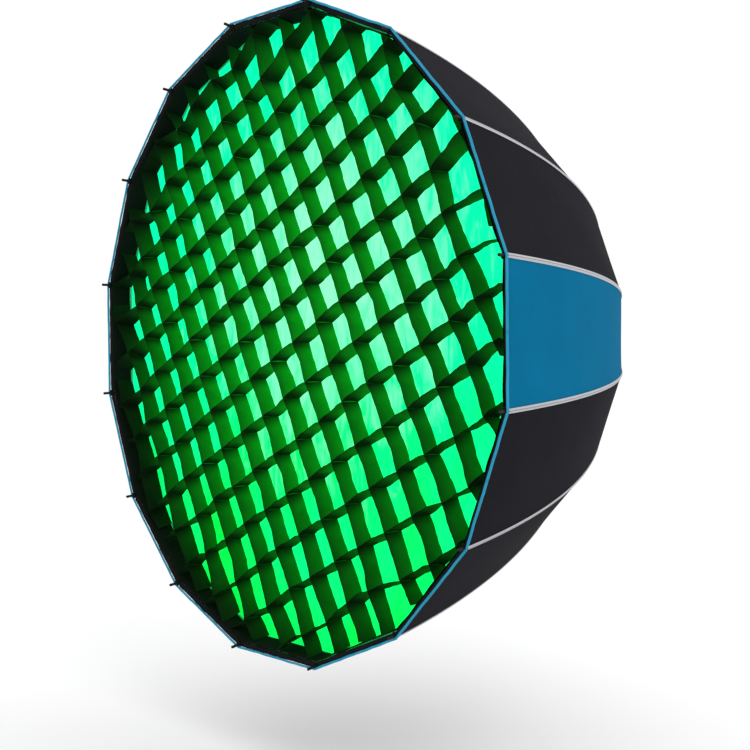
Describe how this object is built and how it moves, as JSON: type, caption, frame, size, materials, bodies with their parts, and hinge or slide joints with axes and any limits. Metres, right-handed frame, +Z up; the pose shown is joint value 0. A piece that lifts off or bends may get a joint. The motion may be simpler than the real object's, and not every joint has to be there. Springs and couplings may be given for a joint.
{
  "type": "parabolic softbox",
  "caption": "Deep round folding softbox with bowed ribs on a hinged hub, cloth shell, lit front diffuser, black eggcrate grid and rear lamp bayonet.",
  "frame": {"origin": "centre of the bayonet ring's rear seat face, where the lamp's front face rests", "axes": "+Y along the optical axis towards the lamp (the open front faces -Y), +Z up, flat rim edges at left, right, top and bottom"},
  "size_m": [1.1922, 0.761, 1.1922],
  "materials": {
    "rod_black": "black-coated spring steel with moulded end cap",
    "holder_black": "black anodised",
    "hub_black": "black anodised casting",
    "cover_plastic": "fine moulded grain",
    "steel": "turned",
    "bare_aluminium": "turned, satin",
    "shell_black": "plain woven polyester, silver coated inside",
    "shell_blue": "plain woven polyester, silver coated inside",
    "black_cloth": "matt black cloth and hook tape",
    "grid_cloth": "matt black cloth strips",
    "grey_tape": "light grey folded binding tape",
    "blue_piping": "blue covered piping",
    "diffuser_cloth": "white diffusion cloth lit green from behind"
  },
  "bodies": {
    "hub": {"hub_body": "hub_black", "hub_cover": "cover_plastic", "hinge_pins": "steel", "bayonet_ring": "bare_aluminium", "bayonet_screws": "steel", "cuff_clamp_ring": "holder_black", "clamp_screws": "steel", "rear_cuff": "black_cloth", "black_panels": "shell_black", "blue_panels": "shell_blue", "seam_bindings": "grey_tape", "rim_piping": "blue_piping", "front_lip": "black_cloth", "rod_pockets": "black_cloth", "front_diffuser": "diffuser_cloth", "grid_border": "black_cloth", "grid_strips_long": "grid_cloth", "grid_strips_cross": "grid_cloth"},
    "rib_01": {"rib_rod_01": "rod_black", "rod_holder_01": "holder_black"},
    "rib_02": {"rib_rod_02": "rod_black", "rod_holder_02": "holder_black"},
    "rib_03": {"rib_rod_03": "rod_black", "rod_holder_03": "holder_black"},
    "rib_04": {"rib_rod_04": "rod_black", "rod_holder_04": "holder_black"},
    "rib_05": {"rib_rod_05": "rod_black", "rod_holder_05": "holder_black"},
    "rib_06": {"rib_rod_06": "rod_black", "rod_holder_06": "holder_black"},
    "rib_07": {"rib_rod_07": "rod_black", "rod_holder_07": "holder_black"},
    "rib_08": {"rib_rod_08": "rod_black", "rod_holder_08": "holder_black"},
    "rib_09": {"rib_rod_09": "rod_black", "rod_holder_09": "holder_black"},
    "rib_10": {"rib_rod_10": "rod_black", "rod_holder_10": "holder_black"},
    "rib_11": {"rib_rod_11": "rod_black", "rod_holder_11": "holder_black"},
    "rib_12": {"rib_rod_12": "rod_black", "rod_holder_12": "holder_black"},
    "rib_13": {"rib_rod_13": "rod_black", "rod_holder_13": "holder_black"},
    "rib_14": {"rib_rod_14": "rod_black", "rod_holder_14": "holder_black"},
    "rib_15": {"rib_rod_15": "rod_black", "rod_holder_15": "holder_black"},
    "rib_16": {"rib_rod_16": "rod_black", "rod_holder_16": "holder_black"},
    "front_edge_01": {"diffuser_tape_01": "black_cloth"},
    "front_edge_02": {"diffuser_tape_02": "black_cloth"},
    "front_edge_03": {"diffuser_tape_03": "black_cloth"},
    "front_edge_04": {"diffuser_tape_04": "black_cloth"},
    "front_edge_05": {"diffuser_tape_05": "black_cloth"},
    "front_edge_06": {"diffuser_tape_06": "black_cloth"},
    "front_edge_07": {"diffuser_tape_07": "black_cloth"},
    "front_edge_08": {"diffuser_tape_08": "black_cloth"}
  },
  "joints": [
    {"name": "rib_fold_01", "type": "hinge", "parent": "hub", "child": "rib_01", "pos_m": [0.07865, -0.03, 0.01564], "axis": [0.1951, 0, -0.9808], "range_deg": [0, 36], "deforming": ["rear_cuff", "black_panels", "blue_panels", "seam_bindings", "rim_piping", "front_lip", "rod_pockets", "front_diffuser", "grid_border", "grid_strips_long", "grid_strips_cross", "diffuser_tape_01", "diffuser_tape_02", "diffuser_tape_03", "diffuser_tape_04", "diffuser_tape_05", "diffuser_tape_06", "diffuser_tape_07", "diffuser_tape_08"]},
    {"name": "rib_fold_02", "type": "hinge", "parent": "hub", "child": "rib_02", "pos_m": [0.06667, -0.03, 0.04455], "axis": [0.5556, 0, -0.8315], "range_deg": [0, 36]},
    {"name": "rib_fold_03", "type": "hinge", "parent": "hub", "child": "rib_03", "pos_m": [0.04455, -0.03, 0.06667], "axis": [0.8315, 0, -0.5556], "range_deg": [0, 36]},
    {"name": "rib_fold_04", "type": "hinge", "parent": "hub", "child": "rib_04", "pos_m": [0.01564, -0.03, 0.07865], "axis": [0.9808, 0, -0.1951], "range_deg": [0, 36]},
    {"name": "rib_fold_05", "type": "hinge", "parent": "hub", "child": "rib_05", "pos_m": [-0.01564, -0.03, 0.07865], "axis": [0.9808, 0, 0.1951], "range_deg": [0, 36]},
    {"name": "rib_fold_06", "type": "hinge", "parent": "hub", "child": "rib_06", "pos_m": [-0.04455, -0.03, 0.06667], "axis": [0.8315, 0, 0.5556], "range_deg": [0, 36]},
    {"name": "rib_fold_07", "type": "hinge", "parent": "hub", "child": "rib_07", "pos_m": [-0.06667, -0.03, 0.04455], "axis": [0.5556, 0, 0.8315], "range_deg": [0, 36]},
    {"name": "rib_fold_08", "type": "hinge", "parent": "hub", "child": "rib_08", "pos_m": [-0.07865, -0.03, 0.01564], "axis": [0.1951, 0, 0.9808], "range_deg": [0, 36]},
    {"name": "rib_fold_09", "type": "hinge", "parent": "hub", "child": "rib_09", "pos_m": [-0.07865, -0.03, -0.01564], "axis": [-0.1951, 0, 0.9808], "range_deg": [0, 36]},
    {"name": "rib_fold_10", "type": "hinge", "parent": "hub", "child": "rib_10", "pos_m": [-0.06667, -0.03, -0.04455], "axis": [-0.5556, 0, 0.8315], "range_deg": [0, 36]},
    {"name": "rib_fold_11", "type": "hinge", "parent": "hub", "child": "rib_11", "pos_m": [-0.04455, -0.03, -0.06667], "axis": [-0.8315, 0, 0.5556], "range_deg": [0, 36]},
    {"name": "rib_fold_12", "type": "hinge", "parent": "hub", "child": "rib_12", "pos_m": [-0.01564, -0.03, -0.07865], "axis": [-0.9808, 0, 0.1951], "range_deg": [0, 36]},
    {"name": "rib_fold_13", "type": "hinge", "parent": "hub", "child": "rib_13", "pos_m": [0.01564, -0.03, -0.07865], "axis": [-0.9808, 0, -0.1951], "range_deg": [0, 36]},
    {"name": "rib_fold_14", "type": "hinge", "parent": "hub", "child": "rib_14", "pos_m": [0.04455, -0.03, -0.06667], "axis": [-0.8315, 0, -0.5556], "range_deg": [0, 36]},
    {"name": "rib_fold_15", "type": "hinge", "parent": "hub", "child": "rib_15", "pos_m": [0.06667, -0.03, -0.04455], "axis": [-0.5556, 0, -0.8315], "range_deg": [0, 36]},
    {"name": "rib_fold_16", "type": "hinge", "parent": "hub", "child": "rib_16", "pos_m": [0.07865, -0.03, -0.01564], "axis": [-0.1951, 0, -0.9808], "range_deg": [0, 36]},
    {"name": "front_turn_01", "type": "hinge", "parent": "rib_01", "child": "front_edge_01", "pos_m": [0.56885, -0.68455, 0.11315], "axis": [0.1951, 0, -0.9808], "range_deg": [0, 53]},
    {"name": "front_turn_02", "type": "hinge", "parent": "rib_03", "child": "front_edge_02", "pos_m": [0.32223, -0.68455, 0.48225], "axis": [0.8315, 0, -0.5556], "range_deg": [0, 53]},
    {"name": "front_turn_03", "type": "hinge", "parent": "rib_05", "child": "front_edge_03", "pos_m": [-0.11315, -0.68455, 0.56885], "axis": [0.9808, 0, 0.1951], "range_deg": [0, 53]},
    {"name": "front_turn_04", "type": "hinge", "parent": "rib_07", "child": "front_edge_04", "pos_m": [-0.48225, -0.68455, 0.32223], "axis": [0.5556, 0, 0.8315], "range_deg": [0, 53]},
    {"name": "front_turn_05", "type": "hinge", "parent": "rib_09", "child": "front_edge_05", "pos_m": [-0.56885, -0.68455, -0.11315], "axis": [-0.1951, 0, 0.9808], "range_deg": [0, 53]},
    {"name": "front_turn_06", "type": "hinge", "parent": "rib_11", "child": "front_edge_06", "pos_m": [-0.32223, -0.68455, -0.48225], "axis": [-0.8315, 0, 0.5556], "range_deg": [0, 53]},
    {"name": "front_turn_07", "type": "hinge", "parent": "rib_13", "child": "front_edge_07", "pos_m": [0.11315, -0.68455, -0.56885], "axis": [-0.9808, 0, -0.1951], "range_deg": [0, 53]},
    {"name": "front_turn_08", "type": "hinge", "parent": "rib_15", "child": "front_edge_08", "pos_m": [0.48225, -0.68455, -0.32223], "axis": [-0.5556, 0, -0.8315], "range_deg": [0, 53]}
  ],
  "couplings": [
    {"joint": "rib_fold_02", "follows": "rib_fold_01", "ratio": 1},
    {"joint": "rib_fold_03", "follows": "rib_fold_01", "ratio": 1},
    {"joint": "rib_fold_04", "follows": "rib_fold_01", "ratio": 1},
    {"joint": "rib_fold_05", "follows": "rib_fold_01", "ratio": 1},
    {"joint": "rib_fold_06", "follows": "rib_fold_01", "ratio": 1},
    {"joint": "rib_fold_07", "follows": "rib_fold_01", "ratio": 1},
    {"joint": "rib_fold_08", "follows": "rib_fold_01", "ratio": 1},
    {"joint": "rib_fold_09", "follows": "rib_fold_01", "ratio": 1},
    {"joint": "rib_fold_10", "follows": "rib_fold_01", "ratio": 1},
    {"joint": "rib_fold_11", "follows": "rib_fold_01", "ratio": 1},
    {"joint": "rib_fold_12", "follows": "rib_fold_01", "ratio": 1},
    {"joint": "rib_fold_13", "follows": "rib_fold_01", "ratio": 1},
    {"joint": "rib_fold_14", "follows": "rib_fold_01", "ratio": 1},
    {"joint": "rib_fold_15", "follows": "rib_fold_01", "ratio": 1},
    {"joint": "rib_fold_16", "follows": "rib_fold_01", "ratio": 1},
    {"joint": "front_turn_01", "follows": "rib_fold_01", "ratio": 1.4722},
    {"joint": "front_turn_02", "follows": "rib_fold_01", "ratio": 1.4722},
    {"joint": "front_turn_03", "follows": "rib_fold_01", "ratio": 1.4722},
    {"joint": "front_turn_04", "follows": "rib_fold_01", "ratio": 1.4722},
    {"joint": "front_turn_05", "follows": "rib_fold_01", "ratio": 1.4722},
    {"joint": "front_turn_06", "follows": "rib_fold_01", "ratio": 1.4722},
    {"joint": "front_turn_07", "follows": "rib_fold_01", "ratio": 1.4722},
    {"joint": "front_turn_08", "follows": "rib_fold_01", "ratio": 1.4722}
  ]
}
